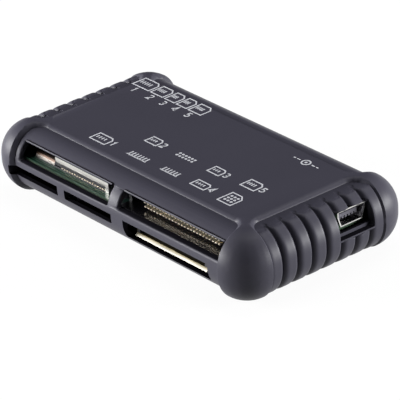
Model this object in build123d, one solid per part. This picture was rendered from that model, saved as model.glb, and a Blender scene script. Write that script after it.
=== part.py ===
"""Card reader with five card slots and a mini USB inlet, in millimetres.

X runs along the case, the card slots face -Y, the USB inlet faces +X and Z is up.
The origin is at the bottom centre of the case.
"""
import math
import os

from build123d import *

# Case
BODY_LENGTH = 110.0
BODY_WIDTH = 61.4
BODY_HEIGHT = 21.3
PARTING_BAND = 1.3  # straight band between the upper and lower nose
CORNER_FLAT = 0.3  # what the plan corner radius has beyond the nose radius
WALL = 1.8  # wall behind the recessed sides
LIP_HEIGHT = 1.0  # inner lip of the bottom half, inside the top half
LIP_THICKNESS = 0.9
LIP_FIT = 0.1

# Recessed sides between the four corner bumpers
RECESS_DEPTH = 1.3
RECESS_CORNER = 4.0
RECESS_ON_TOP = 0.8  # how far a recess runs past the nose onto the flat top
FRONT_BUMPER_RUN = 1.2  # straight run of a bumper past its corner, along the front
END_BUMPER_RUN = 1.2  # the same along the ends
RIM_SLOPE = 1.1  # height and width of the sloped rim of the bumpers and lips

# Ribbed ends
RIB_INSET = 0.4  # how far the rib crests lie behind the bumpers
RIB_ROUND = 2.9  # radius across a rib
GROOVE_INSET = 1.9
GROOVE_WIDTH = 1.4
GROOVE_FADE = 0.65  # how far the groove floors rise towards their upper and lower ends
GROOVE_PITCH = 5.2
GROOVE_COUNT = 7

# Card slots: the upper two are windows in the top half, the lower three notches in the bottom half
SLOT_ROUND = 0.5
SLOT_EDGE = 0.4  # sloped edge round the two windows
PILLAR_LEFT = -2.8  # sides of the pillar between the two windows
PILLAR_RIGHT = 1.4
SLIM_SLOT_INSET = 1.7  # left end of the slim-card window inside the end of the front recess
SLIM_SLOT_HEIGHT = 5.2
SLIM_BAR = 2.0  # bar of the top half under the slim-card window
WIDE_SLOT_OVERRUN = 0.9  # right end of the wide-card window past the end of the front recess
WIDE_SLOT_HEIGHT = 4.7
WIDE_BAR = 2.5  # bar of the top half under the wide-card window
SMALL_SLOT_OVERRUN = 1.7  # left end of the small-card notches past the end of the front recess
SMALL_SLOT_GAP = 3.0  # between the two small-card notches
SMALL_SLOT_RIGHT = -1.2
SMALL_SLOT_HEIGHT = 3.0
SQUARE_SLOT_LEFT = 3.8
SQUARE_SLOT_INSET = 4.5  # right end of the square-card notch inside the end of the front recess
SQUARE_SLOT_HEIGHT = 5.4

# Circuit board
BOARD_THICKNESS = 1.6
BOARD_RISE = 2.15  # board top above the parting plane
BOARD_SETBACK = 3.7  # board edge behind the front of the case
BOARD_BACK_GAP = 10.7  # board edge to the back of the case
BOARD_END_GAP = 6.2  # board ends to the inner walls
BOARD_TAB_HALF = 5.6  # half width of the tab that carries the USB inlet
BOARD_LIP = 1.3  # end of the tab behind the mouth of the inlet

# Wide-card header with two rows of pins
PIN_SIZE = 0.6
PIN_PITCH = 1.27
PINS_PER_ROW = 25
PIN_TAPER = 0.15
PIN_SETBACK = 6.4  # pin tips behind the front of the case
PIN_FREE_LENGTH = 5.0
PIN_FIT = 0.03
PIN_ROW_RISE = 2.15  # middle of the two rows above the board
PIN_TAIL_STEP = 1.1  # from the header to the lower row's tails, and on to the upper row's
HEADER_DEPTH = 3.2
HEADER_HEIGHT = 4.3
HEADER_ARM = 1.1
HEADER_ARM_SETBACK = 7.0
HEADER_TRAY = 0.5  # floor in front of the pins
HEADER_LIP = 0.3  # lip of the tray in front of the board
HEADER_LIP_DROP = 1.0
HEADER_LIP_FIT = 0.05

# Slim-card connector on top of the board
SHEET = 0.3  # thickness of the stamped connector shells
SLIM_LEFT_GAP = 1.2  # sides of the connector from the ends of its slot
SLIM_RIGHT_GAP = 4.3
SLIM_DEPTH = 22.0
SLIM_HEIGHT = 1.4
SLIM_SETBACK = 5.7
SLIM_LIP = 0.85  # height of the turned-up lip over the entry
SLIM_FOOT = 1.5  # width of the foot at the right end of the lip
SLIM_CORNER_NOTCH = 10.1  # width of the open corner that the detect spring lies in
SLIM_NOTCH_DEPTH = 7.0
SLIM_BASE = 0.3
SLIM_CONTACTS = 18
SLIM_CONTACT_GAP = 2.2  # outer contacts from the open corner and from the right side
SLIM_CONTACT_SETBACK = 0.5  # contacts behind the front of the base
SPRING_LENGTH = 8.5
SPRING_ROLL = 2.2  # radius of the rolled front
SPRING_TAIL = 2.0  # flat part behind the roll
SPRING_THICKNESS = 0.25

# Square-card connector under the board
SQUARE_LEFT_GAP = 1.4  # sides of the connector from the ends of its slot
SQUARE_RIGHT_GAP = 4.2
SQUARE_DEPTH = 28.0
SQUARE_HEIGHT = 5.2
SQUARE_SETBACK = 5.1
SQUARE_LIP_RUN = 0.6  # lip turned down at the entry
SQUARE_LIP_DROP = 0.9
SQUARE_BASE = 0.7
SQUARE_RAIL = 1.0
SQUARE_CONTACTS = 9
SQUARE_CONTACT_PITCH = 2.5

# Small-card connectors under the board
SMALL_SIDE_GAP = 1.75  # sides of a connector from the ends of its slot
SMALL_DEPTH = 15.0
SMALL_HEIGHT = 3.1
SMALL_SETBACK = 7.0
SMALL_BASE = 0.8
SMALL_RAIL = 1.0
SMALL_CONTACTS = 8
SMALL_CONTACT_PITCH = 1.1

# Spring contacts of the card connectors
CONTACT_WIDTH = 0.6
CONTACT_THICKNESS = 0.2
CONTACT_LENGTH = 6.0
CONTACT_RISE = 0.5
CONTACT_TIP = 1.2

# Mini USB inlet
USB_TO_BACK = 9.3  # middle of the inlet from the back edge of the board
USB_FACE = 3.3  # mouth behind the end of the case
USB_WIDTH = 9.8
USB_HEIGHT = 4.75
USB_SHOULDER = 1.7  # height of the straight sides, above the tapered ones
USB_FOOT_WIDTH = 7.8  # width across the foot of the tapered sides
USB_LENGTH = 9.2
USB_BACK = 3.0  # solid back of the insulator
USB_TONGUE_WIDTH = 6.6
USB_TONGUE_THICKNESS = 1.6
USB_TONGUE_DROP = 1.4  # tongue below the roof of the shell
USB_TONGUE_SHORT = 1.5  # tongue end behind the mouth
USB_CONTACTS = 5
USB_CONTACT_PITCH = 1.15
USB_CONTACT_WIDTH = 0.5
USB_CONTACT_THICKNESS = 0.3
USB_CONTACT_SHORT = 2.1  # contact ends behind the mouth
USB_CONTACT_GROOVE = 0.6  # depth of the grooves that the contacts lie in
USB_CUT_NEAR = 6.6  # sides of the case cut-out from the middle of the inlet
USB_CUT_FAR = 5.9
USB_CUT_HEIGHT = 7.0
USB_CUT_ROUND = 0.8

# Screws, bosses and board posts
SCREW_INLET_GAP = 4.5  # middle of the right-hand screw behind the back of the inlet
SCREW_TO_BACK = 6.5  # from the back edge of the board
SCREW_RADIUS = 1.45
SCREW_LENGTH = 12.0
SCREW_FIT = 0.03
HEAD_RADIUS = 2.6
HEAD_HEIGHT = 1.9
HEAD_EDGE = 0.6
HEAD_SEAT = 4.0  # height of the seat under the head
HEAD_FIT = 0.3
CROSS_LENGTH = 2.8
CROSS_WIDTH = 0.7
CROSS_DEPTH = 1.0
HOLE_FIT = 0.2
BOTTOM_BOSS_RADIUS = 4.2
TOP_BOSS_RADIUS = 3.2
PILOT_SPARE = 0.4
POST_RADIUS = 1.7
POST_SETBACK = 5.0  # posts behind the front edge of the board
SIDE_POST_GAP = 3.0  # right-hand post from the end of the square-card slot

# Parts on the board, placed leftwards from the right-hand screw and forwards from the board's back edge
CHIP_SIZE = 10.0
CHIP_HEIGHT = 1.5
CHIP_TO_SCREW = 26.0
CHIP_TO_BACK = 14.0
CHIP_EDGE = 0.3
CRYSTAL_LENGTH = 11.0
CRYSTAL_WIDTH = 4.6
CRYSTAL_HEIGHT = 3.5
CRYSTAL_TO_SCREW = 48.0
CRYSTAL_TO_BACK = 11.0
CAPACITOR_SIZE = (1.6, 0.8, 0.8)
CAPACITORS_TO_BACK = 19.0
CAPACITOR_COUNT = 6
RESISTOR_SIZE = (1.6, 0.8, 0.5)
RESISTORS_TO_BACK = 8.5
RESISTOR_COUNT = 6
CHIP_PART_PITCH = 2.4
CHIP_PARTS_TO_SCREW = 18.0  # first capacitor and first resistor
LAMP_SIZE = (1.6, 0.8, 0.8)
LAMP_TO_SCREW = 8.8
LAMP_TO_BACK = 4.6

TOUCHING = 0.0001  # closer than this, two places are the same

# Places that follow from the sizes above
NOSE_RADIUS = (BODY_HEIGHT - PARTING_BAND) / 2
PLAN_CORNER = NOSE_RADIUS + CORNER_FLAT
PARTING = BODY_HEIGHT / 2
NOSE_Z = PARTING + PARTING_BAND / 2  # middle of the upper nose
CAVITY_INSET = RECESS_DEPTH + WALL
CAVITY_SLOPE = (NOSE_RADIUS - CAVITY_INSET) * (2 - math.sqrt(2))  # touches the inside of the rounded wall
FRONT = -BODY_WIDTH / 2
END = BODY_LENGTH / 2
RECESS_REACH = NOSE_RADIUS + RECESS_ON_TOP
FRONT_RECESS_HALF = END - PLAN_CORNER - FRONT_BUMPER_RUN
END_RECESS_HALF = -FRONT - PLAN_CORNER - END_BUMPER_RUN
SLIM_SLOT_LEFT = SLIM_SLOT_INSET - FRONT_RECESS_HALF
SLIM_SLOT_WIDTH = PILLAR_LEFT - SLIM_SLOT_LEFT
WIDE_SLOT_WIDTH = FRONT_RECESS_HALF + WIDE_SLOT_OVERRUN - PILLAR_RIGHT
SMALL_SLOT_LEFT = -FRONT_RECESS_HALF - SMALL_SLOT_OVERRUN
SMALL_SLOT_WIDTH = (SMALL_SLOT_RIGHT - SMALL_SLOT_LEFT - SMALL_SLOT_GAP) / 2
SMALL_SLOT_LEFTS = (SMALL_SLOT_LEFT, SMALL_SLOT_RIGHT - SMALL_SLOT_WIDTH)
SQUARE_SLOT_WIDTH = FRONT_RECESS_HALF - SQUARE_SLOT_INSET - SQUARE_SLOT_LEFT
BOARD_TOP = PARTING + BOARD_RISE
BOARD_BOTTOM = BOARD_TOP - BOARD_THICKNESS
BOARD_FRONT = FRONT + BOARD_SETBACK
BOARD_BACK = -FRONT - BOARD_BACK_GAP
BOARD_HALF = END - CAVITY_INSET - BOARD_END_GAP
PIN_TIP_Y = FRONT + PIN_SETBACK
HEADER_FACE_Y = PIN_TIP_Y + PIN_FREE_LENGTH
HEADER_BACK_Y = HEADER_FACE_Y + HEADER_DEPTH
HEADER_LEFT = PILLAR_RIGHT - HEADER_ARM
HEADER_RIGHT = PILLAR_RIGHT + WIDE_SLOT_WIDTH + HEADER_ARM
WIDE_CENTRE_X = PILLAR_RIGHT + WIDE_SLOT_WIDTH / 2
SLIM_LEFT = SLIM_SLOT_LEFT + SLIM_LEFT_GAP
SLIM_RIGHT = PILLAR_LEFT - SLIM_RIGHT_GAP
SLIM_WIDTH = SLIM_RIGHT - SLIM_LEFT
SLIM_FRONT = FRONT + SLIM_SETBACK
SLIM_NOTCH_RIGHT = SLIM_LEFT + SLIM_CORNER_NOTCH
SLIM_CONTACT_PITCH = (SLIM_RIGHT - SLIM_NOTCH_RIGHT - 2 * SLIM_CONTACT_GAP) / (SLIM_CONTACTS - 1)
SQUARE_WIDTH = SQUARE_SLOT_WIDTH - SQUARE_LEFT_GAP - SQUARE_RIGHT_GAP
SQUARE_CENTRE_X = SQUARE_SLOT_LEFT + SQUARE_LEFT_GAP + SQUARE_WIDTH / 2
SQUARE_FRONT = FRONT + SQUARE_SETBACK
SMALL_WIDTH = SMALL_SLOT_WIDTH - 2 * SMALL_SIDE_GAP
SMALL_FRONT = FRONT + SMALL_SETBACK
SMALL_CENTRES = [left + SMALL_SLOT_WIDTH / 2 for left in SMALL_SLOT_LEFTS]
USB_MOUTH_X = END - USB_FACE
USB_BACK_X = USB_MOUTH_X - USB_LENGTH
USB_Y = BOARD_BACK - USB_TO_BACK
USB_Z = BOARD_TOP + USB_HEIGHT / 2
SCREW_X = USB_BACK_X - SCREW_INLET_GAP
SCREW_Y = BOARD_BACK - SCREW_TO_BACK
SCREWS = ((-SCREW_X, SCREW_Y), (SCREW_X, SCREW_Y))
POST_Y = BOARD_FRONT + POST_SETBACK
SMALL_GAP_X = SMALL_SLOT_LEFT + SMALL_SLOT_WIDTH + SMALL_SLOT_GAP / 2
SIDE_POST_X = SQUARE_SLOT_LEFT + SQUARE_SLOT_WIDTH + SIDE_POST_GAP
MIDDLE_POST_X = (SLIM_RIGHT + HEADER_LEFT) / 2
CHIP_PARTS_X = SCREW_X - CHIP_PARTS_TO_SCREW


def span(x0, x1, y0, y1, z0, z1):
    """A block between two corners."""
    middle = Pos((x0 + x1) / 2, (y0 + y1) / 2, (z0 + z1) / 2)
    return middle * Box(x1 - x0, y1 - y0, z1 - z0)


def peg(x, y, z0, z1, radius):
    """An upright cylinder between two heights."""
    return Pos(x, y, (z0 + z1) / 2) * Cylinder(radius, z1 - z0)


def row(count, pitch, centre=0.0):
    """Evenly spaced places about a centre."""
    return [centre + (i - (count - 1) / 2) * pitch for i in range(count)]


def group(solids):
    """Separate like pieces kept as one node."""
    return Compound(children=list(solids))


def case_plan(inset):
    """The outline of the case in plan, moved inwards."""
    return RectangleRounded(BODY_LENGTH - 2 * inset, BODY_WIDTH - 2 * inset, PLAN_CORNER - inset)


def nosed_block(inset):
    """The rounded block of the case with its whole skin moved inwards."""
    block = extrude(Pos(0, 0, inset) * case_plan(inset), BODY_HEIGHT - 2 * inset)
    levels = block.edges().group_by(Axis.Z)
    return fillet(levels[0] + levels[-1], NOSE_RADIUS - inset)


def cavity():
    """The hollow inside the case, with sloped edges behind the rounded ones of the wall."""
    block = extrude(Pos(0, 0, CAVITY_INSET) * case_plan(CAVITY_INSET), BODY_HEIGHT - 2 * CAVITY_INSET)
    levels = block.edges().group_by(Axis.Z)
    return chamfer(levels[0] + levels[-1], CAVITY_SLOPE)


def anchored(post):
    """A post cut off inside the wall that it stands on, so that it never breaks through the skin."""
    return post & nosed_block(RECESS_DEPTH + WALL / 2)


def recess_plans():
    """Plan outlines of the four recesses, one on each side."""
    along = RectangleRounded(2 * FRONT_RECESS_HALF, 2 * RECESS_REACH, RECESS_CORNER)
    across = RectangleRounded(2 * RECESS_REACH, 2 * END_RECESS_HALF, RECESS_CORNER)
    sides = [Pos(0, FRONT) * along, Pos(0, -FRONT) * along]
    ends = [Pos(-END, 0) * across, Pos(END, 0) * across]
    return sides + ends


def bumper_frame():
    """The case at its full size, cut back to the four bumpers and the lips, with sloped rims."""
    plans = recess_plans()
    frame = nosed_block(0)
    for plan in plans:
        frame = frame - extrude(plan, BODY_HEIGHT)
    rims = [edge for edge in frame.edges() if is_rim(edge, plans)]
    return chamfer(rims, RIM_SLOPE)


def is_rim(edge, plans):
    """Whether an edge lies on a recess wall and isn't upright."""
    size = edge.bounding_box().size
    if max(size.X, size.Y) < TOUCHING:
        return False
    middle = edge.position_at(0.5)
    flat = Vertex(middle.X, middle.Y, 0)
    return min(plan.wire().distance_to(flat) for plan in plans) < TOUCHING


def rib_section():
    """The scalloped outline across the ribs: Y across them, and outwards from the middle of the nose."""
    crest = NOSE_RADIUS - RIB_INSET
    half = GROOVE_PITCH / 2
    cusp = crest - RIB_ROUND + math.sqrt(RIB_ROUND**2 - half**2)
    floor = NOSE_RADIUS - CAVITY_INSET
    crests = row(GROOVE_COUNT + 1, GROOVE_PITCH)
    lines = [ThreePointArc((y - half, cusp), (y, crest), (y + half, cusp)) for y in crests]
    start = crests[0] - half
    end = crests[-1] + half
    sides = Polyline((end, cusp), (end, floor), (start, floor), (start, cusp))
    return make_face(lines + [sides])


def ribs():
    """Rounded ribs over the nose of both ends, level with the recess at top and bottom."""
    centre_x = END - NOSE_RADIUS
    upright = Plane((centre_x, 0, NOSE_Z), x_dir=(0, 1, 0), z_dir=(1, 0, 0))
    level = Plane((centre_x, 0, NOSE_Z), x_dir=(0, 1, 0), z_dir=(0, 0, -1))
    upper = revolve(upright * rib_section(), Axis((centre_x, 0, NOSE_Z), (0, 1, 0)), 90)
    band = extrude(level * rib_section(), PARTING_BAND)
    lower = mirror(upper, Plane.XY.offset(PARTING))
    right = upper + band + lower
    right = right & span(0, END, FRONT, -FRONT, RECESS_DEPTH, BODY_HEIGHT - RECESS_DEPTH)
    return right + mirror(right, Plane.YZ)


def grooves():
    """Upright grooves that part the ribs and fade out at both ends."""
    half = GROOVE_WIDTH / 2
    places = row(GROOVE_COUNT, GROOVE_PITCH)
    cuts = [span(-END, END, y - half, y + half, RECESS_DEPTH, BODY_HEIGHT - RECESS_DEPTH) for y in places]
    core = nosed_block(GROOVE_INSET)
    return Part() + cuts - Pos(0, 0, GROOVE_FADE) * core - Pos(0, 0, -GROOVE_FADE) * core


def case_block():
    """Both halves of the case in one: recessed sides, bumpers, ribs and the hollow inside."""
    skin = nosed_block(RECESS_DEPTH) + bumper_frame() + ribs()
    return skin - grooves() - cavity()


def slot(left, width, bottom, height):
    """A card slot through the front wall, with soft corners."""
    depth = FRONT + NOSE_RADIUS
    block = span(left, left + width, 2 * FRONT, depth, bottom, bottom + height)
    return fillet(block.edges().filter_by(Axis.Y), SLOT_ROUND)


def upper_slots():
    """The two windows of the top half."""
    slim = slot(SLIM_SLOT_LEFT, SLIM_SLOT_WIDTH, PARTING + SLIM_BAR, SLIM_SLOT_HEIGHT)
    wide = slot(PILLAR_RIGHT, WIDE_SLOT_WIDTH, PARTING + WIDE_BAR, WIDE_SLOT_HEIGHT)
    return slim + wide


def lower_slots():
    """The three notches of the bottom half, open upwards through the inner lip."""
    spare = LIP_HEIGHT + 2 * SLOT_ROUND
    cuts = slot(SQUARE_SLOT_LEFT, SQUARE_SLOT_WIDTH, PARTING - SQUARE_SLOT_HEIGHT, SQUARE_SLOT_HEIGHT + spare)
    for left in SMALL_SLOT_LEFTS:
        cuts = cuts + slot(left, SMALL_SLOT_WIDTH, PARTING - SMALL_SLOT_HEIGHT, SMALL_SLOT_HEIGHT + spare)
    return cuts


def usb_cutout():
    """The opening in the ribbed end round the USB inlet, down to the parting plane."""
    near = USB_Y - USB_CUT_NEAR
    far = USB_Y + USB_CUT_FAR
    low = PARTING - 2 * USB_CUT_ROUND
    block = span(END - NOSE_RADIUS, 2 * END, near, far, low, PARTING + USB_CUT_HEIGHT)
    return fillet(block.edges().filter_by(Axis.X), USB_CUT_ROUND)


def lip_ring(fit):
    """The ring of the inner lip, grown by a fit outwards and upwards."""
    outer = extrude(Pos(0, 0, PARTING) * case_plan(CAVITY_INSET - LIP_THICKNESS - fit), LIP_HEIGHT + fit)
    inner = extrude(Pos(0, 0, PARTING) * case_plan(CAVITY_INSET), LIP_HEIGHT + fit)
    return outer - inner


def window_edges(shell):
    """The outer upper and lower edges of the two windows."""
    lows = (PARTING + SLIM_BAR, PARTING + WIDE_BAR)
    highs = (lows[0] + SLIM_SLOT_HEIGHT, lows[1] + WIDE_SLOT_HEIGHT)
    found = []
    for level in set(lows + highs):
        near = [edge for edge in shell.edges().filter_by(Axis.X) if abs(edge.center().Z - level) < TOUCHING]
        outer = min(edge.center().Y for edge in near)
        found += [edge for edge in near if edge.center().Y < outer + TOUCHING]
    return found


def top_shell():
    """Top half of the case, with its bosses and the post that holds the board down."""
    shell = split(CASE, Plane.XY.offset(PARTING), keep=Keep.TOP)
    shell = shell - lip_ring(LIP_FIT) - upper_slots() - usb_cutout()
    shell = chamfer(window_edges(shell), SLOT_EDGE)
    for x, y in SCREWS:
        shell = shell + anchored(peg(x, y, BOARD_TOP, BODY_HEIGHT, TOP_BOSS_RADIUS))
    shell = shell + anchored(peg(MIDDLE_POST_X, POST_Y, BOARD_TOP, BODY_HEIGHT, POST_RADIUS))
    pilot = HEAD_SEAT + SCREW_LENGTH + PILOT_SPARE
    for x, y in SCREWS:
        shell = shell - peg(x, y, PARTING, pilot, SCREW_RADIUS + SCREW_FIT)
    return shell


def bottom_shell():
    """Bottom half of the case, with its lip, screw bosses and board posts."""
    shell = split(CASE, Plane.XY.offset(PARTING), keep=Keep.BOTTOM)
    shell = shell + lip_ring(0) - lower_slots()
    for x, y in SCREWS:
        shell = shell + anchored(peg(x, y, 0, BOARD_BOTTOM, BOTTOM_BOSS_RADIUS))
    for x in (SMALL_GAP_X, SIDE_POST_X):
        shell = shell + anchored(peg(x, POST_Y, 0, BOARD_BOTTOM, POST_RADIUS))
    for x, y in SCREWS:
        shell = shell - peg(x, y, 0, HEAD_SEAT, HEAD_RADIUS + HEAD_FIT)
        shell = shell - peg(x, y, 0, BOARD_TOP, SCREW_RADIUS + HOLE_FIT)
    return shell


def circuit_board():
    """The board, with a tab for the USB inlet and two screw holes."""
    board = span(-BOARD_HALF, BOARD_HALF, BOARD_FRONT, BOARD_BACK, BOARD_BOTTOM, BOARD_TOP)
    tab_end = USB_MOUTH_X - BOARD_LIP
    near = USB_Y - BOARD_TAB_HALF
    far = USB_Y + BOARD_TAB_HALF
    board = board + span(0, tab_end, near, far, BOARD_BOTTOM, BOARD_TOP)
    for x, y in SCREWS:
        board = board - peg(x, y, BOARD_BOTTOM, BOARD_TOP, SCREW_RADIUS + HOLE_FIT)
    return board


def case_screws():
    """Two pan-head screws with cross recesses, put in from below."""
    screws = []
    for x, y in SCREWS:
        low = HEAD_SEAT - HEAD_HEIGHT
        head = peg(x, y, low, HEAD_SEAT, HEAD_RADIUS)
        head = chamfer(head.edges().group_by(Axis.Z)[0], HEAD_EDGE)
        screw = head + peg(x, y, HEAD_SEAT, HEAD_SEAT + SCREW_LENGTH, SCREW_RADIUS)
        for long, wide in ((CROSS_LENGTH, CROSS_WIDTH), (CROSS_WIDTH, CROSS_LENGTH)):
            screw = screw - Pos(x, y, low + CROSS_DEPTH / 2) * Box(long, wide, CROSS_DEPTH)
        screws.append(screw.solid())
    return group(screws)


def pin_rows():
    """Height and tail place of the lower and the upper row of pins."""
    low = BOARD_TOP + PIN_ROW_RISE - PIN_PITCH / 2
    tail = HEADER_BACK_Y + PIN_TAIL_STEP
    return ((low, tail), (low + PIN_PITCH, tail + PIN_TAIL_STEP))


def wide_card_pins():
    """Bent square pins: tapered tips forward, tails down to the board."""
    half = PIN_SIZE / 2
    pins = []
    for z, tail in pin_rows():
        outline = Polyline(
            (PIN_TIP_Y, z - half + PIN_TAPER),
            (PIN_TIP_Y, z + half - PIN_TAPER),
            (PIN_TIP_Y + PIN_SIZE, z + half),
            (tail + half, z + half),
            (tail + half, BOARD_TOP),
            (tail - half, BOARD_TOP),
            (tail - half, z - half),
            (PIN_TIP_Y + PIN_SIZE, z - half),
            close=True,
        )
        bent = extrude(Plane.YZ * make_face(outline), PIN_SIZE)
        for x in row(PINS_PER_ROW, PIN_PITCH, WIDE_CENTRE_X):
            pins.append((Pos(x - half, 0, 0) * bent).solid())
    return group(pins)


def wide_card_header():
    """Black header block with a lipped tray, two guide arms and a square hole for each pin."""
    top = BOARD_TOP + HEADER_HEIGHT
    lip_back = BOARD_FRONT - HEADER_LIP_FIT
    tray_front = lip_back - HEADER_LIP
    lip_low = BOARD_TOP - HEADER_LIP_DROP
    tray_top = BOARD_TOP + HEADER_TRAY
    arm_front = FRONT + HEADER_ARM_SETBACK
    header = span(HEADER_LEFT, HEADER_RIGHT, HEADER_FACE_Y, HEADER_BACK_Y, BOARD_TOP, top)
    header = header + span(HEADER_LEFT, HEADER_RIGHT, tray_front, HEADER_BACK_Y, BOARD_TOP, tray_top)
    header = header + span(HEADER_LEFT, HEADER_RIGHT, tray_front, lip_back, lip_low, BOARD_TOP)
    for left in (HEADER_LEFT, HEADER_RIGHT - HEADER_ARM):
        header = header + span(left, left + HEADER_ARM, arm_front, HEADER_BACK_Y, BOARD_TOP, top)
    half = PIN_SIZE / 2 + PIN_FIT
    holes = []
    for z, tail in pin_rows():
        for x in row(PINS_PER_ROW, PIN_PITCH, WIDE_CENTRE_X):
            holes.append(span(x - half, x + half, HEADER_FACE_Y, HEADER_BACK_Y, z - half, z + half))
    return header - holes


def folded_shell(centre_x, front, width, depth, height, top):
    """A sheet folded into a channel: a flat plate with a flange down each side and the back."""
    left = centre_x - width / 2
    right = centre_x + width / 2
    back = front + depth
    block = span(left, right, front, back, top - height, top)
    hollow = span(left + SHEET, right - SHEET, front, back - SHEET, top - height, top - SHEET)
    return block - hollow


def spring_contact(x, front, seat):
    """A flat spring lying on a seat, with a raised bow near its front end."""
    outline = Polyline(
        (front, seat),
        (front + CONTACT_LENGTH, seat),
        (front + CONTACT_LENGTH, seat + CONTACT_THICKNESS),
        (front + 2 * CONTACT_TIP, seat + CONTACT_THICKNESS),
        (front + CONTACT_TIP, seat + CONTACT_THICKNESS + CONTACT_RISE),
        (front, seat + CONTACT_THICKNESS),
        close=True,
    )
    strip = extrude(Plane.YZ * make_face(outline), CONTACT_WIDTH)
    return Pos(x - CONTACT_WIDTH / 2, 0, 0) * strip


def slim_card_shell():
    """Bright shell of the slim-card connector, with a turned-up lip, a foot and an open front corner."""
    centre = (SLIM_LEFT + SLIM_RIGHT) / 2
    top = BOARD_TOP + SLIM_HEIGHT
    shell = folded_shell(centre, SLIM_FRONT, SLIM_WIDTH, SLIM_DEPTH, SLIM_HEIGHT, top)
    lip_back = SLIM_FRONT + SHEET
    shell = shell + span(SLIM_LEFT, SLIM_RIGHT, SLIM_FRONT, lip_back, top - SHEET, top + SLIM_LIP)
    shell = shell + span(SLIM_RIGHT - SLIM_FOOT, SLIM_RIGHT, SLIM_FRONT, lip_back, BOARD_TOP, top)
    notch_back = SLIM_FRONT + SLIM_NOTCH_DEPTH
    return shell - span(2 * SLIM_LEFT, SLIM_NOTCH_RIGHT, FRONT, notch_back, BOARD_TOP, BODY_HEIGHT)


def slim_card_base():
    """Plastic base plate between the flanges of the slim-card shell, behind its foot."""
    left = SLIM_LEFT + SHEET
    right = SLIM_RIGHT - SHEET
    front = SLIM_FRONT + SHEET
    back = SLIM_FRONT + SLIM_DEPTH - SHEET
    return span(left, right, front, back, BOARD_TOP, BOARD_TOP + SLIM_BASE)


def slim_card_contacts():
    """A comb of spring contacts on the base, at the entry."""
    centre = (SLIM_NOTCH_RIGHT + SLIM_RIGHT) / 2
    seat = BOARD_TOP + SLIM_BASE
    places = row(SLIM_CONTACTS, SLIM_CONTACT_PITCH, centre)
    front = SLIM_FRONT + SLIM_CONTACT_SETBACK
    return group([spring_contact(x, front, seat).solid() for x in places])


def card_detect_spring():
    """Bronze leaf in the open corner of the slim-card connector, rolled down at its front."""
    front = SLIM_FRONT + SHEET
    seat = BOARD_TOP + SLIM_BASE
    top = seat + SPRING_ROLL
    middle = front + SPRING_ROLL
    tail = middle + SPRING_TAIL
    inner = front + SPRING_THICKNESS
    under = top - SPRING_THICKNESS
    outside = RadiusArc((front, seat), (middle, top), SPRING_ROLL)
    inside = RadiusArc((inner, seat), (middle, under), SPRING_ROLL - SPRING_THICKNESS)
    flat = Polyline((middle, top), (tail, top), (tail, under), (middle, under))
    edge = Line((inner, seat), (front, seat))
    leaf = extrude(Plane.YZ * make_face([outside, flat, inside, edge]), SPRING_LENGTH)
    return Pos(SLIM_LEFT + 2 * SHEET, 0, 0) * leaf


def hung_cover(centre_x, front, width, depth, height):
    """A folded shell under the board: its plate is below and its flanges reach up to the board."""
    upright = folded_shell(0, front, width, depth, height, height)
    mirrored = mirror(upright, Plane.XY)
    return Pos(centre_x, 0, BOARD_BOTTOM) * mirrored


def hung_base(centre_x, front, width, depth, height, plate, rail):
    """A plastic frame inside a hung cover: a plate at the board and a rail down each side."""
    half = width / 2 - SHEET
    back = front + depth - SHEET
    low = BOARD_BOTTOM - height + SHEET
    plate_low = BOARD_BOTTOM - plate
    base = span(-half, half, front, back, plate_low, BOARD_BOTTOM)
    base = base + span(-half, rail - half, front, back, low, plate_low)
    base = base + span(half - rail, half, front, back, low, plate_low)
    return Pos(centre_x, 0, 0) * base


def hung_contacts(centre_x, front, depth, plate, count, pitch):
    """Spring contacts under a hung base, near its back."""
    tip = front + depth - 2 * CONTACT_LENGTH
    springs = []
    for x in row(count, pitch):
        strip = mirror(spring_contact(x, tip, 0), Plane.XY)
        springs.append((Pos(centre_x, 0, BOARD_BOTTOM - plate) * strip).solid())
    return group(springs)


def square_card_cover():
    """Bright cover of the square-card connector, with its entry lip turned down."""
    cover = hung_cover(SQUARE_CENTRE_X, SQUARE_FRONT, SQUARE_WIDTH, SQUARE_DEPTH, SQUARE_HEIGHT)
    low = BOARD_BOTTOM - SQUARE_HEIGHT
    high = low + SHEET
    lip_front = SQUARE_FRONT - SQUARE_LIP_RUN
    outline = Polyline(
        (SQUARE_FRONT, high),
        (lip_front, high - SQUARE_LIP_DROP),
        (lip_front + SHEET, high - SQUARE_LIP_DROP),
        (SQUARE_FRONT, low),
        close=True,
    )
    lip = extrude(Plane.YZ * make_face(outline), SQUARE_WIDTH)
    return cover + Pos(SQUARE_CENTRE_X - SQUARE_WIDTH / 2, 0, 0) * lip


def square_card_base():
    """Plastic frame of the square-card connector."""
    size = (SQUARE_WIDTH, SQUARE_DEPTH, SQUARE_HEIGHT)
    return hung_base(SQUARE_CENTRE_X, SQUARE_FRONT, *size, SQUARE_BASE, SQUARE_RAIL)


def square_card_contacts():
    """Spring contacts of the square-card connector."""
    spread = (SQUARE_CONTACTS, SQUARE_CONTACT_PITCH)
    return hung_contacts(SQUARE_CENTRE_X, SQUARE_FRONT, SQUARE_DEPTH, SQUARE_BASE, *spread)


def small_card_shell(centre_x):
    """Metal shell of one small-card connector."""
    return hung_cover(centre_x, SMALL_FRONT, SMALL_WIDTH, SMALL_DEPTH, SMALL_HEIGHT)


def small_card_base(centre_x):
    """Plastic frame of one small-card connector."""
    size = (SMALL_WIDTH, SMALL_DEPTH, SMALL_HEIGHT)
    return hung_base(centre_x, SMALL_FRONT, *size, SMALL_BASE, SMALL_RAIL)


def small_card_contacts(centre_x):
    """Spring contacts of one small-card connector."""
    spread = (SMALL_CONTACTS, SMALL_CONTACT_PITCH)
    return hung_contacts(centre_x, SMALL_FRONT, SMALL_DEPTH, SMALL_BASE, *spread)


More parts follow.
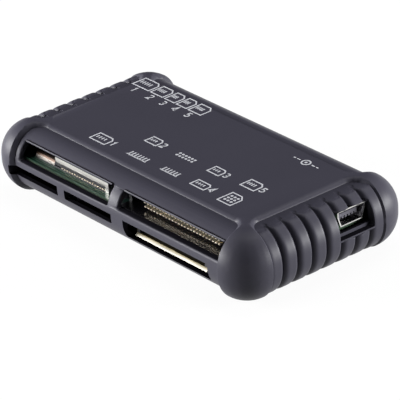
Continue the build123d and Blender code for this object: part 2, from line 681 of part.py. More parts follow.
def usb_section(grow, x):
    """Outline of the inlet across its length: straight shoulders above sides that taper to the foot."""
    wide = USB_WIDTH / 2 + grow
    foot = USB_FOOT_WIDTH / 2 + grow
    high = USB_HEIGHT / 2 + grow
    shoulder = USB_HEIGHT / 2 - USB_SHOULDER
    outline = Polyline(
        (-foot, -high), (foot, -high), (wide, shoulder), (wide, high), (-wide, high), (-wide, shoulder),
        close=True,
    )
    return Plane.YZ.offset(x) * Pos(USB_Y, USB_Z) * make_face(outline)


def usb_shell():
    """Plated shell of the inlet, open at both ends."""
    outside = extrude(usb_section(0, USB_BACK_X), USB_LENGTH)
    return outside - extrude(usb_section(-SHEET, USB_BACK_X), USB_LENGTH)


def usb_bar(y, half, z_low, z_high, end_short):
    """A bar inside the inlet, from the insulator's back to short of the mouth."""
    return span(USB_BACK_X + USB_BACK, USB_MOUTH_X - end_short, y - half, y + half, z_low, z_high)


def usb_tongue_levels():
    """Lower and upper face of the tongue."""
    high = BOARD_TOP + USB_HEIGHT - SHEET - USB_TONGUE_DROP
    return high - USB_TONGUE_THICKNESS, high


def usb_insulator():
    """Plastic back of the inlet and the tongue, with a groove in its lower face for each contact."""
    back = extrude(usb_section(-SHEET, USB_BACK_X), USB_BACK)
    low, high = usb_tongue_levels()
    tongue = usb_bar(USB_Y, USB_TONGUE_WIDTH / 2, low, high, USB_TONGUE_SHORT)
    roof = low + USB_CONTACT_GROOVE
    for y in row(USB_CONTACTS, USB_CONTACT_PITCH, USB_Y):
        tongue = tongue - usb_bar(y, USB_CONTACT_WIDTH / 2, low, roof, USB_TONGUE_SHORT)
    return back + tongue


def usb_contacts():
    """Contact strips in the grooves of the tongue."""
    low, high = usb_tongue_levels()
    roof = low + USB_CONTACT_GROOVE
    size = (USB_CONTACT_WIDTH / 2, roof - USB_CONTACT_THICKNESS, roof, USB_CONTACT_SHORT)
    return group([usb_bar(y, *size).solid() for y in row(USB_CONTACTS, USB_CONTACT_PITCH, USB_Y)])


def controller_chip():
    """Flat chip with soft upper edges."""
    middle = Pos(SCREW_X - CHIP_TO_SCREW, BOARD_BACK - CHIP_TO_BACK, BOARD_TOP + CHIP_HEIGHT / 2)
    body = middle * Box(CHIP_SIZE, CHIP_SIZE, CHIP_HEIGHT)
    return chamfer(body.edges().group_by(Axis.Z)[-1], CHIP_EDGE)


def timing_crystal():
    """Long metal can with round ends."""
    can = SlotOverall(CRYSTAL_LENGTH, CRYSTAL_WIDTH)
    place = Pos(SCREW_X - CRYSTAL_TO_SCREW, BOARD_BACK - CRYSTAL_TO_BACK, BOARD_TOP)
    return extrude(place * can, CRYSTAL_HEIGHT)


def chip_parts(size, to_back, count):
    """A row of small flat parts on the board."""
    y = BOARD_BACK - to_back
    places = [CHIP_PARTS_X + i * CHIP_PART_PITCH for i in range(count)]
    return group([Pos(x, y, BOARD_TOP + size[2] / 2) * Box(*size) for x in places])


def capacitors():
    """A row of chip capacitors."""
    return chip_parts(CAPACITOR_SIZE, CAPACITORS_TO_BACK, CAPACITOR_COUNT)


def resistors():
    """A row of chip resistors."""
    return chip_parts(RESISTOR_SIZE, RESISTORS_TO_BACK, RESISTOR_COUNT)


def access_lamp():
    """The small lamp that shows access."""
    place = Pos(SCREW_X - LAMP_TO_SCREW, BOARD_BACK - LAMP_TO_BACK, BOARD_TOP + LAMP_SIZE[2] / 2)
    return place * Box(*LAMP_SIZE)


CASE = case_block()

NODES = {
    "top_shell": top_shell(),
    "bottom_shell": bottom_shell(),
    "circuit_board": circuit_board(),
    "case_screws": case_screws(),
    "wide_card_header": wide_card_header(),
    "wide_card_pins": wide_card_pins(),
    "slim_card_shell": slim_card_shell(),
    "slim_card_base": slim_card_base(),
    "slim_card_contacts": slim_card_contacts(),
    "card_detect_spring": card_detect_spring(),
    "square_card_cover": square_card_cover(),
    "square_card_base": square_card_base(),
    "square_card_contacts": square_card_contacts(),
    "usb_shell": usb_shell(),
    "usb_insulator": usb_insulator(),
    "usb_contacts": usb_contacts(),
    "controller_chip": controller_chip(),
    "timing_crystal": timing_crystal(),
    "capacitors": capacitors(),
    "resistors": resistors(),
    "access_lamp": access_lamp(),
}
for side, centre in zip(("left", "right"), SMALL_CENTRES):
    NODES[f"small_card_shell_{side}"] = small_card_shell(centre)
    NODES[f"small_card_base_{side}"] = small_card_base(centre)
    NODES[f"small_card_contacts_{side}"] = small_card_contacts(centre)

os.makedirs("parts", exist_ok=True)
for name, piece in NODES.items():
    export_step(piece, f"parts/{name}.step")
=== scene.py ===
"""Looks of a card reader with five card slots and a mini USB inlet, built round its solids.

Lengths in the meshes are metres. Sizes that a maker would quote are written in millimetres and go through MM.
X runs along the case, the card slots face -Y, the USB inlet faces +X and Z is up.
"""

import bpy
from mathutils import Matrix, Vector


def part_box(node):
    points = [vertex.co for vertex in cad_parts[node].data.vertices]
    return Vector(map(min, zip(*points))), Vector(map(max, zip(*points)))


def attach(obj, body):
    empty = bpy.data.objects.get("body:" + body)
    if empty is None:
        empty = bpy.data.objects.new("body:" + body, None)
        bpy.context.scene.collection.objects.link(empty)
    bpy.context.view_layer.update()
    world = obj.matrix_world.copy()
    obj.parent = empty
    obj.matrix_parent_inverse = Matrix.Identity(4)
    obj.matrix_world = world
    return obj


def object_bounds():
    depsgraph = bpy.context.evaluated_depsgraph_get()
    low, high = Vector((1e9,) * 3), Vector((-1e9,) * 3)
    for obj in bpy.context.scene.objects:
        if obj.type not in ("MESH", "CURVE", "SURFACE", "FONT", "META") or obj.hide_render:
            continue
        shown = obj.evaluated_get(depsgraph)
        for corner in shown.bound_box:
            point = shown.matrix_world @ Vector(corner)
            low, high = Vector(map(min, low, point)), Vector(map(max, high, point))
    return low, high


bl_info = {
    "name": "Card reader looks",
    "version": (1, 0, 0),
    "blender": (4, 5, 0),
    "location": "3D View > Sidebar > Card reader",
    "description": "Finishes, print, board detail and studio stage for a card reader",
    "category": "Object",
}

import math

import bpy
import numpy as np
from mathutils import Matrix, Vector

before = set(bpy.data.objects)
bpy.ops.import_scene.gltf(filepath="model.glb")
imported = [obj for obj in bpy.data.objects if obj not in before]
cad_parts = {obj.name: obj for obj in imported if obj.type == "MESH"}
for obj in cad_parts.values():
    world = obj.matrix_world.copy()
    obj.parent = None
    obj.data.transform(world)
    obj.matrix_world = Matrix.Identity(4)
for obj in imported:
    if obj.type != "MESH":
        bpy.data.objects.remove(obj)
CAD_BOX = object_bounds()

MM = 0.001
BODY = "root"
BODY_CENTRE = (CAD_BOX[0] + CAD_BOX[1]) / 2
TOP_Z = CAD_BOX[1].z
BOARD_LOW, BOARD_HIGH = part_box("circuit_board")
CHIP_LOW, CHIP_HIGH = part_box("controller_chip")
SHELLS = ("top_shell", "bottom_shell")


def linear(hex_colour):
    """A colour written as sRGB hex, as linear red, green, blue and an alpha of 1."""
    parts = np.array([int(hex_colour[i:i + 2], 16) for i in (1, 3, 5)]) / 255
    curve = np.where(parts <= 0.04045, parts / 12.92, ((parts + 0.055) / 1.055) ** 2.4)
    return (*curve.tolist(), 1.0)


def per_mm(size):
    """The scale of a pattern whose cells are that many millimetres wide."""
    return 1 / (size * MM)


class ReaderFinishes(bpy.types.PropertyGroup):
    """Colours of the main materials and how far the moulded edges are rounded to the eye."""
    case: bpy.props.FloatVectorProperty(
        name="Case", description="Charcoal of the moulded case", subtype="COLOR", size=4,
        default=linear("#3a3942"), min=0, max=1)
    ink: bpy.props.FloatVectorProperty(
        name="Ink", description="White of the print on the top", subtype="COLOR", size=4,
        default=linear("#c6c7cd"), min=0, max=1)
    mask: bpy.props.FloatVectorProperty(
        name="Solder mask", description="Green lacquer of the circuit board", subtype="COLOR", size=4,
        default=linear("#0d211b"), min=0, max=1)
    round_angle: bpy.props.FloatProperty(
        name="Round angle", description="Edges of the case that turn by less than this are shaded as rounds",
        subtype="ANGLE", default=math.radians(58), min=0)


class ReaderPrint(bpy.types.PropertyGroup):
    """Sizes of the white print."""
    stroke: bpy.props.FloatProperty(
        name="Stroke", description="Width of the printed lines", unit="LENGTH", default=0.42 * MM)
    film: bpy.props.FloatProperty(
        name="Film", description="Thickness of the ink", unit="LENGTH", default=0.02 * MM)
    key_height: bpy.props.FloatProperty(
        name="Key height", description="Height of the card outlines in the slot key", unit="LENGTH",
        default=5.0 * MM)
    digit_height: bpy.props.FloatProperty(
        name="Digit height", description="Height of the slot numbers", unit="LENGTH", default=2.3 * MM)
    ring: bpy.props.FloatProperty(
        name="Ring", description="Diameter of the ring over the access lamp", unit="LENGTH",
        default=2.6 * MM)


class ReaderStage(bpy.types.PropertyGroup):
    """Camera and light."""
    azimuth: bpy.props.FloatProperty(
        name="Azimuth", description="Camera round the reader, from the card slots towards the inlet",
        subtype="ANGLE", default=math.radians(50.74))
    elevation: bpy.props.FloatProperty(
        name="Elevation", description="Camera above the horizon", subtype="ANGLE",
        default=math.radians(26.86))
    roll: bpy.props.FloatProperty(
        name="Roll", description="Turn of the camera about its line of sight", subtype="ANGLE",
        default=math.radians(2.72))
    distance: bpy.props.FloatProperty(
        name="Distance", description="Camera from the middle of the reader", unit="LENGTH",
        default=896.6 * MM)
    lens: bpy.props.FloatProperty(
        name="Lens", description="Focal length of the camera", unit="CAMERA", default=292.0)
    left_power: bpy.props.FloatProperty(
        name="Left softbox", description="Power of the softbox on the card-slot side", unit="POWER",
        default=22.0)
    right_power: bpy.props.FloatProperty(
        name="Right softbox", description="Power of the softbox on the inlet side", unit="POWER",
        default=16.5)
    top_power: bpy.props.FloatProperty(
        name="Top softbox", description="Power of the softbox overhead", unit="POWER", default=5.2)
    room: bpy.props.FloatProperty(
        name="Room", description="Brightness of the dim room round the stage", default=0.04)


# Mesh tools

def slab(path, width, low, high, closed=False):
    """A flat stroke: a rectangle carried along a path.

    Each point of the path moves sideways by half the width, along the mitre of the two runs that meet there,
    to give the stroke's edges; the edges are then set at the lower and the upper level.
    """
    path = np.asarray(path, float)
    ahead = np.roll(path, -1, axis=0) - path
    behind = path - np.roll(path, 1, axis=0)
    if not closed:
        ahead[-1] = behind[-1]
        behind[0] = ahead[0]
    ahead_side = np.stack([-ahead[:, 1], ahead[:, 0]], 1) / np.linalg.norm(ahead, axis=1, keepdims=True)
    behind_side = np.stack([-behind[:, 1], behind[:, 0]], 1) / np.linalg.norm(behind, axis=1, keepdims=True)
    mitre = ahead_side + behind_side
    mitre = mitre * width / np.sum(mitre * mitre, axis=1, keepdims=True)
    left = path + mitre
    right = path - mitre
    count = len(path)
    corners = np.empty((count, 4, 3))
    corners[:, 0, :2] = left
    corners[:, 1, :2] = left
    corners[:, 2, :2] = right
    corners[:, 3, :2] = right
    corners[:, (0, 3), 2] = low
    corners[:, (1, 2), 2] = high
    here = np.arange(count if closed else count - 1)
    there = (here + 1) % count
    side = np.arange(4)
    after = (side + 1) % 4
    faces = np.stack([
        here[:, None] * 4 + side, here[:, None] * 4 + after,
        there[:, None] * 4 + after, there[:, None] * 4 + side,
    ], axis=-1).reshape(-1, 4)
    if not closed:
        ends = np.array([[0, 3, 2, 1], [0, 1, 2, 3]]) + np.array([[0], [4 * (count - 1)]])
        faces = np.concatenate([faces, ends])
    return corners.reshape(-1, 3), faces


def joined(shapes):
    """Several shapes as one list of corners and one of faces."""
    counts = np.array([len(corners) for corners, faces in shapes])
    starts = np.concatenate([[0], np.cumsum(counts)[:-1]])
    corners = np.concatenate([corners for corners, faces in shapes])
    faces = np.concatenate([faces + start for (corners, faces), start in zip(shapes, starts)])
    return corners, faces


def piece(name, shape, material):
    """A mesh object at the origin that rides on the reader."""
    corners, faces = shape
    mesh = bpy.data.meshes.new(name)
    mesh.from_pydata(corners.tolist(), [], faces.tolist())
    mesh.update()
    mesh.materials.append(material)
    made = bpy.data.objects.new(name, mesh)
    bpy.context.scene.collection.objects.link(made)
    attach(made, BODY)
    return made


def arc(centre, radius, start, stop, count=13):
    """Points on a circle from one angle to another, in degrees."""
    turn = np.radians(np.linspace(start, stop, count))
    return np.stack([centre[0] + radius * np.cos(turn), centre[1] + radius * np.sin(turn)], 1)


# Materials

# painted shade on low faces that look up, such as the sills of the windows: they are painted almost black
SHADED_SILL_FACING = 0.85  # upward part of the normal of a sill
SHADED_SILL_BELOW = 18.5 * MM
SHEEN_FACING = (0.85, 0.98)  # the sheen fades as the normal turns up from the first to the second
SHEEN = 0.15
CUT_FACING = 0.5  # upward part of the normal below which the board shows its cut edge


def add(tree, kind, values=None, links=None, **settings):
    """Adds a node, sets its sockets and settings and links its inputs."""
    node = tree.nodes.new(kind)
    for name, value in settings.items():
        setattr(node, name, value)
    for socket, value in (values or {}).items():
        node.inputs[socket].default_value = value
    for socket, source in (links or {}).items():
        tree.links.new(source, node.inputs[socket])
    return node


def start_material(name):
    """An empty material with its output, its principled shader and object coordinates."""
    material = bpy.data.materials.new(name)
    material.use_nodes = True
    tree = material.node_tree
    tree.nodes.clear()
    shader = add(tree, "ShaderNodeBsdfPrincipled")
    add(tree, "ShaderNodeOutputMaterial", links={"Surface": shader.outputs["BSDF"]})
    where = add(tree, "ShaderNodeTexCoord").outputs["Object"]
    return material, tree, shader, where


def moulded_abs():
    """ABS moulded in a spark-eroded tool: dark, satin, with a grain that breaks the gloss a little."""
    finishes = bpy.context.scene.reader_finishes
    material, tree, shader, where = start_material("moulded_abs_charcoal")
    # flow of the melt: a faint cloudiness over a few centimetres
    cloud = add(tree, "ShaderNodeTexNoise", {"Scale": per_mm(22), "Detail": 2.0}, {"Vector": where})
    base = tuple(finishes.case)
    pale = tuple(min(1.0, c * 1.12) for c in base[:3]) + (1.0,)
    cloudy = add(tree, "ShaderNodeMixRGB", {"Color1": base, "Color2": pale},
                 {"Fac": cloud.outputs["Fac"]})
    # painted shade: faces that look up and lie low, such as the window sills, are painted almost black as the
    # shade under the overhang
    turned = tree.nodes["Texture Coordinate"].outputs["Normal"]
    level = add(tree, "ShaderNodeSeparateXYZ", links={0: turned})
    place = add(tree, "ShaderNodeSeparateXYZ", links={0: where})
    faces_up = add(tree, "ShaderNodeMath", {1: SHADED_SILL_FACING}, {0: level.outputs["Z"]},
                   operation="GREATER_THAN")
    is_low = add(tree, "ShaderNodeMath", {1: SHADED_SILL_BELOW}, {0: place.outputs["Z"]}, operation="LESS_THAN")
    sill_shade_mask = add(tree, "ShaderNodeMath", links={0: faces_up.outputs[0], 1: is_low.outputs[0]},
               operation="MULTIPLY")
    tint = add(tree, "ShaderNodeMixRGB", {"Color2": linear("#16151a")},
               {"Fac": sill_shade_mask.outputs[0], "Color1": cloudy.outputs["Color"]})
    # spark grain: about 0.15 mm on the tool, drawn at 0.4 mm so that it shows
    grain = add(tree, "ShaderNodeTexNoise", {"Scale": per_mm(0.4), "Detail": 3.0}, {"Vector": where})
    gloss = add(tree, "ShaderNodeMapRange", {"To Min": 0.38, "To Max": 0.5}, {"Value": grain.outputs["Fac"]})
    bump = add(tree, "ShaderNodeBump", {"Strength": 0.12, "Distance": 0.02 * MM},
               {"Height": grain.outputs["Fac"]})
    tree.links.new(tint.outputs["Color"], shader.inputs["Base Color"])
    tree.links.new(gloss.outputs["Result"], shader.inputs["Roughness"])
    tree.links.new(bump.outputs["Normal"], shader.inputs["Normal"])
    # the flat top has a finer, matt grain, so it doesn't glare where the sides shine
    matt_from, matt_to = SHEEN_FACING
    sheen = add(tree, "ShaderNodeMapRange",
                {"From Min": matt_from, "From Max": matt_to, "To Min": SHEEN, "To Max": 0.0},
                {"Value": level.outputs["Z"]})
    tree.links.new(sheen.outputs["Result"], shader.inputs["Specular IOR Level"])
    shader.inputs["IOR"].default_value = 1.53
    return material


def plain_plastic(name, colour, roughness, grain_mm):
    """Engineering plastic of a connector: matt, with a fine mould grain."""
    material, tree, shader, where = start_material(name)
    grain = add(tree, "ShaderNodeTexNoise", {"Scale": per_mm(grain_mm), "Detail": 2.0}, {"Vector": where})
    dark = linear(colour)
    pale = tuple(min(1.0, c * 1.25) for c in dark[:3]) + (1.0,)
    tint = add(tree, "ShaderNodeMixRGB", {"Color1": dark, "Color2": pale}, {"Fac": grain.outputs["Fac"]})
    bump = add(tree, "ShaderNodeBump", {"Strength": 0.1, "Distance": 0.02 * MM},
               {"Height": grain.outputs["Fac"]})
    tree.links.new(tint.outputs["Color"], shader.inputs["Base Color"])
    tree.links.new(bump.outputs["Normal"], shader.inputs["Normal"])
    shader.inputs["Roughness"].default_value = roughness
    shader.inputs["IOR"].default_value = 1.57
    return material


def metal(name, colour, roughness, streak_mm, along, shade_above=None):
    """Rolled or plated metal: bright, with fine streaks along the way it was rolled or drawn.

    With a shade colour and two heights, it turns to that colour between them, towards the top: painted shade.
    """
    material, tree, shader, where = start_material(name)
    stretch = [per_mm(streak_mm)] * 3
    stretch["xyz".index(along)] = per_mm(streak_mm * 25)
    lined = add(tree, "ShaderNodeMapping", {"Scale": stretch}, {"Vector": where})
    streak = add(tree, "ShaderNodeTexNoise", {"Scale": 1.0, "Detail": 3.0},
                 {"Vector": lined.outputs["Vector"]})
    gloss = add(tree, "ShaderNodeMapRange", {"To Min": roughness * 0.7, "To Max": roughness * 1.4},
                {"Value": streak.outputs["Fac"]})
    pale = linear(colour)
    dull = tuple(c * 0.86 for c in pale[:3]) + (1.0,)
    tint = add(tree, "ShaderNodeMixRGB", {"Color1": dull, "Color2": pale}, {"Fac": streak.outputs["Fac"]})
    # painted shade: the colour darkens between the two heights
    if shade_above:
        place = add(tree, "ShaderNodeSeparateXYZ", links={0: where})
        height = add(tree, "ShaderNodeMapRange", {"From Min": shade_above[1] * MM, "From Max": shade_above[2] * MM},
                     {"Value": place.outputs["Z"]})
        tint = add(tree, "ShaderNodeMixRGB", {"Color2": linear(shade_above[0])},
                   {"Fac": height.outputs["Result"], "Color1": tint.outputs["Color"]})
    tree.links.new(tint.outputs["Color"], shader.inputs["Base Color"])
    tree.links.new(gloss.outputs["Result"], shader.inputs["Roughness"])
    shader.inputs["Metallic"].default_value = 1.0
    return material


def board_laminate():
    """Glass-epoxy laminate under green solder mask: glossy lacquer over a faint weave."""
    finishes = bpy.context.scene.reader_finishes
    material, tree, shader, where = start_material("glass_epoxy_green_mask")
    weave = add(tree, "ShaderNodeTexChecker", {"Scale": per_mm(0.45)}, {"Vector": where})
    base = tuple(finishes.mask)
    pale = tuple(min(1.0, c * 1.25) for c in base[:3]) + (1.0,)
    mask = add(tree, "ShaderNodeMixRGB", {"Color1": base, "Color2": pale}, {"Fac": weave.outputs["Fac"]})
    # the routed edge shows the bare laminate, paler than the lacquered faces
    turned = tree.nodes["Texture Coordinate"].outputs["Normal"]
    facing = add(tree, "ShaderNodeSeparateXYZ", links={0: turned})
    level = add(tree, "ShaderNodeMath", links={0: facing.outputs["Z"]}, operation="ABSOLUTE")
    flat = add(tree, "ShaderNodeMath", {1: CUT_FACING}, {0: level.outputs[0]}, operation="GREATER_THAN")
    tint = add(tree, "ShaderNodeMixRGB", {"Color1": linear("#3a4a3c")},
               {"Fac": flat.outputs[0], "Color2": mask.outputs["Color"]})
    wave = add(tree, "ShaderNodeTexNoise", {"Scale": per_mm(1.2), "Detail": 1.0}, {"Vector": where})
    bump = add(tree, "ShaderNodeBump", {"Strength": 0.15, "Distance": 0.02 * MM},
               {"Height": wave.outputs["Fac"]})
    tree.links.new(tint.outputs["Color"], shader.inputs["Base Color"])
    tree.links.new(bump.outputs["Normal"], shader.inputs["Normal"])
    shader.inputs["Roughness"].default_value = 0.28
    shader.inputs["IOR"].default_value = 1.5
    return material


def masked_copper():
    """Copper tracks under the solder mask: the lacquer looks paler and yellower over bright metal."""
    material, tree, shader, where = start_material("copper_under_green_mask")
    blush = add(tree, "ShaderNodeTexNoise", {"Scale": per_mm(1.5), "Detail": 2.0}, {"Vector": where})
    tint = add(tree, "ShaderNodeMixRGB", {"Color1": linear("#2f5745"), "Color2": linear("#4d7560")},
               {"Fac": blush.outputs["Fac"]})
    tree.links.new(tint.outputs["Color"], shader.inputs["Base Color"])
    shader.inputs["Roughness"].default_value = 0.3
    shader.inputs["IOR"].default_value = 1.5
    return material


def printing_ink():
    """Pad-printed white ink: matt, a thin film that lets a little of the dark case through."""
    finishes = bpy.context.scene.reader_finishes
    material, tree, shader, where = start_material("pad_printed_white_ink")
    film = add(tree, "ShaderNodeTexNoise", {"Scale": per_mm(0.6), "Detail": 3.0}, {"Vector": where})
    full = tuple(finishes.ink)
    thin = tuple(c * 0.72 for c in full[:3]) + (1.0,)
    tint = add(tree, "ShaderNodeMixRGB", {"Color1": thin, "Color2": full}, {"Fac": film.outputs["Fac"]})
    tree.links.new(tint.outputs["Color"], shader.inputs["Base Color"])
    shader.inputs["Roughness"].default_value = 0.55
    shader.inputs["Specular IOR Level"].default_value = 0.0
    return material


def lamp_lens():
    """Clear green epoxy of the lamp: a glossy tinted drop."""
    material, tree, shader, where = start_material("tinted_epoxy_lens")
    haze = add(tree, "ShaderNodeTexNoise", {"Scale": per_mm(0.5)}, {"Vector": where})
    tint = add(tree, "ShaderNodeMixRGB", {"Color1": linear("#7fae74"), "Color2": linear("#a8cf9a")},
               {"Fac": haze.outputs["Fac"]})
    tree.links.new(tint.outputs["Color"], shader.inputs["Base Color"])
    shader.inputs["Roughness"].default_value = 0.15
    shader.inputs["IOR"].default_value = 1.55
    return material


def dress(names, material):
    """Gives CAD nodes a finish."""
    for name in names:
        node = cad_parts[name]
        node.data.materials.clear()
        node.data.materials.append(material)


def soften(name, angle):
    """Shades the small chamfers of a moulded shell as rounds: corners merged, then split again where the
    surface turns by more than the angle, with normals that lean to the large faces.
    """
    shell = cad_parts[name]
    shell.data.shade_smooth()
    drawn = shell.data.attributes.get("custom_normal")
    if drawn:
        shell.data.attributes.remove(drawn)
    weld = shell.modifiers.new("merge", "WELD")
    weld.merge_threshold = 0.001 * MM
    split = shell.modifiers.new("crisp_edges", "EDGE_SPLIT")
    split.split_angle = angle
    split.use_edge_sharp = False
    shading = shell.modifiers.new("flat_faces", "WEIGHTED_NORMAL")
    shading.weight = 50


class READER_OT_case(bpy.types.Operator):
    """Gives both halves of the case their moulded finish and soft edges."""
    bl_idname = "reader.case"
    bl_label = "Case"

    def execute(self, context):
        dress(SHELLS, moulded_abs())
        for name in SHELLS:
            soften(name, context.scene.reader_finishes.round_angle)
        return {"FINISHED"}


# Grip ribs of the two ends, in millimetres. Each goes round the nose of the case, whose upper and lower
# halves are quarter rounds about two levels with a straight band between them.

RIB_COUNT = 8
RIB_PITCH = 5.2
RIB_HALF = 2.55
RIB_SHIFT = -0.4  # the ribs lean on the card-slot side of the solid ones
RIB_CREST = 9.65  # radius of the crests about the middle of the nose
RIB_FOOT = 8.0
RIB_POWERS = (3.5, 10)  # how square the two sides are, the card-slot side first
RIB_STEPS = 25
RIB_POINTS = 32
RIB_LOW, RIB_HIGH = 1.31, 19.99  # just inside the recess at the bottom and the top
RIB_TURN = 75.0  # degrees that a rib runs up and down from the middle
NOSE_BACK = 10.0  # middle of the nose from the end of the case
NOSE_LEVELS = (10.0, 11.3)
INLET_MIDDLE = 10.7
INLET_SIDES = (4.08, 16.62)
INLET_SILL, INLET_ROOF = 10.64, 17.66
INLET_ROOF_TURN = 41.0
SILL_MIDDLE = 53.35  # of the shelf, along the case
SILL_DEPTH = 2.6
SILL_THICK = 0.45
SILL_RISE = 0.03


def rib(middle, inlet, start=-RIB_TURN, low=RIB_LOW, high=RIB_HIGH, stop=RIB_TURN):
    """One rib: a flat-topped section carried round the nose.

    Across the rib the radius falls from the crest with a power of the distance from the middle, a low power
    on the card-slot side and a high one on the other, and a straight line closes the section at the foot. The
    heights are held between a lower and an upper level, and beside the USB inlet the rib keeps clear of the
    cut-out.
    """
    down = np.radians(np.linspace(start, 0, RIB_STEPS)) if start < 0 else np.empty(0)
    up = np.radians(np.linspace(max(start, 0), stop, RIB_STEPS if stop > 0 else 1))
    turn = np.concatenate([down, up])[:, None]
    level = np.repeat(NOSE_LEVELS, (len(down), len(up)))[:, None]
    across = np.linspace(-1, 1, RIB_POINTS)
    power = np.where(across < 0, *RIB_POWERS)
    radius = RIB_CREST - (RIB_CREST - RIB_FOOT) * np.abs(across) ** power
    x = CAD_BOX[1].x / MM - NOSE_BACK + radius * np.cos(turn)
    z = level + radius * np.sin(turn)
    y = np.broadcast_to(middle + RIB_SHIFT + RIB_HALF * across, z.shape)
    beside = inlet & (z > INLET_SILL) & (z < INLET_ROOF)
    clear = np.minimum(y, INLET_SIDES[0]) if middle < INLET_MIDDLE else np.maximum(y, INLET_SIDES[1])
    y = np.where(beside, clear, y)
    corners = np.stack([x, y, np.clip(z, low, high)], -1).reshape(-1, 3) * MM
    here = np.arange(len(turn) - 1)[:, None] * RIB_POINTS
    side = np.arange(RIB_POINTS)
    after = (side + 1) % RIB_POINTS
    ahead = here + RIB_POINTS
    walls = np.stack([here + side, here + after, ahead + after, ahead + side], -1).reshape(-1, 4)
    half = np.arange(RIB_POINTS // 2 - 1)
    cap = np.stack([half, half + 1, RIB_POINTS - 2 - half, RIB_POINTS - 1 - half], -1)
    last = cap + RIB_POINTS * (len(turn) - 1)
    return corners, np.concatenate([walls, cap[:, ::-1], last])


def end_ribs(inlet):
    """All ribs of one end: those in line with the inlet stop at its sill and start again over its roof."""
    shapes = []
    for middle in RIB_PITCH * (np.arange(RIB_COUNT) - (RIB_COUNT - 1) / 2):
        if inlet and INLET_SIDES[0] < middle < INLET_SIDES[1]:
            shapes.append(rib(middle, inlet, high=INLET_SILL, stop=0))
            shapes.append(rib(middle, inlet, start=INLET_ROOF_TURN, low=INLET_ROOF))
        else:
            shapes.append(rib(middle, inlet))
    corners, faces = joined(shapes)
    return (corners, faces) if inlet else (corners * (-1, 1, 1), faces[:, ::-1])


def inlet_sill():
    """The straight shelf under the USB inlet: a flat stroke across the heads of the ribs below it."""
    path = np.array([(SILL_MIDDLE, INLET_SIDES[0]), (SILL_MIDDLE, INLET_SIDES[1])])
    return slab(path * MM, SILL_DEPTH * MM, (INLET_SILL - SILL_THICK) * MM, (INLET_SILL + SILL_RISE) * MM)


class READER_OT_ribs(bpy.types.Operator):
    """Adds the grip ribs of both ends, broad with narrow gaps, and the shelf under the inlet."""
    bl_idname = "reader.ribs"
    bl_label = "Grip ribs"

    def execute(self, context):
        plastic = bpy.data.materials["moulded_abs_charcoal"]
        for name, inlet in (("inlet_end_ribs", True), ("plain_end_ribs", False)):
            made = piece(name, end_ribs(inlet), plastic)
            made.data.shade_smooth()
            made.data.set_sharp_from_angle(angle=context.scene.reader_finishes.round_angle)
        piece("inlet_sill", inlet_sill(), plastic)
        return {"FINISHED"}


# Beads along the upper edges of the two card windows, in millimetres

BEAD_SPANS = ((-41.2, -3.4), (2.0, 43.2))
BEAD_RADIUS = 0.36
BEAD_MIDDLE = (-26.34, 17.98)  # Y and Z
BEAD_POINTS = 16


def window_beads():
    """Rolled upper lips of the windows: a circle carried along the case, from end to end of each window."""
    turn = np.linspace(0, 2 * np.pi, BEAD_POINTS, endpoint=False)
    spans = np.array(BEAD_SPANS)
    x = np.broadcast_to(spans[:, :, None], (*spans.shape, BEAD_POINTS))
    y = np.broadcast_to(BEAD_MIDDLE[0] + BEAD_RADIUS * np.cos(turn), x.shape)
    z = np.broadcast_to(BEAD_MIDDLE[1] + BEAD_RADIUS * np.sin(turn), x.shape)
    corners = np.stack([x, y, z], -1).reshape(-1, 3) * MM
    start = np.arange(len(spans))[:, None] * 2 * BEAD_POINTS
    side = np.arange(BEAD_POINTS)
    after = (side + 1) % BEAD_POINTS
    far = start + BEAD_POINTS
    walls = np.stack([start + side, start + after, far + after, far + side], -1)
    return corners, walls.reshape(-1, 4)


class READER_OT_beads(bpy.types.Operator):
    """Adds the rolled upper lips of the two card windows."""
    bl_idname = "reader.beads"
    bl_label = "Window beads"

    def execute(self, context):
        plastic = bpy.data.materials["moulded_abs_charcoal"]
        made = piece("window_beads", window_beads(), plastic)
        made.data.shade_smooth()
        return {"FINISHED"}


# Print on the top: a key of five numbered cards, small marks over the slots and a ring for the lamp.
# All paths are in millimetres, with X along the case and Y towards the back.

KEY_CARDS = ((7.0, 5), (5.2, 4), (4.2, 3), (4.2, 3), (5.2, 4))
KEY_LEFT = -43.5
KEY_LOW = 14.0
KEY_GAP = 1.0
KEY_DIGITS_LOW = 10.6
CARD_MARKS = (
    (-20.6, -14.8, 6.4, 4.0, 4, 1), (-9.0, -5.6, 4.6, 3.4, 3, 2), (17.2, -5.4, 4.6, 3.4, 3, 3),
    (20.3, -13.8, 5.6, 3.2, 4, 4), (30.3, -4.2, 5.4, 4.2, 4, 5),
)
CONTACT_MARKS = ((-6.0, -14.7, 7), (7.3, -14.4, 6))
DOT_MARKS = ((3.7, -6.0, 6, 2),)
PIN_MARK = (31.2, -13.5)
PIN_FRAME = (5.2, 5.6)
LAMP_MARK = (29.3, 15.0)
CUT_SHARE = 0.26
STRIPE_SHARE = 0.3
DIGIT_GAP = 0.9
CONTACT_PITCH = 1.15
CONTACT_LENGTH = 2.0
DOT_PITCH = 1.25
DOT_RADIUS = 0.22
LAMP_DASHES = ((2.3, 3.5), (4.1, 4.9))

DIGIT_WIDTH = 1.0
DIGIT_RISE = 1.6


def card_outline(left, low, width, height):
    """A card seen from above: a rectangle with its upper right corner cut off."""
    cut = height * CUT_SHARE
    return np.array([
        (left, low), (left + width, low), (left + width, low + height - cut),
        (left + width - cut, low + height), (left, low + height),
    ])


def stripes(left, low, pitch, count, length):
    """Upright strokes side by side, one for each contact."""
    return [np.array([(x, low), (x, low + length)]) for x in left + pitch * np.arange(count)]


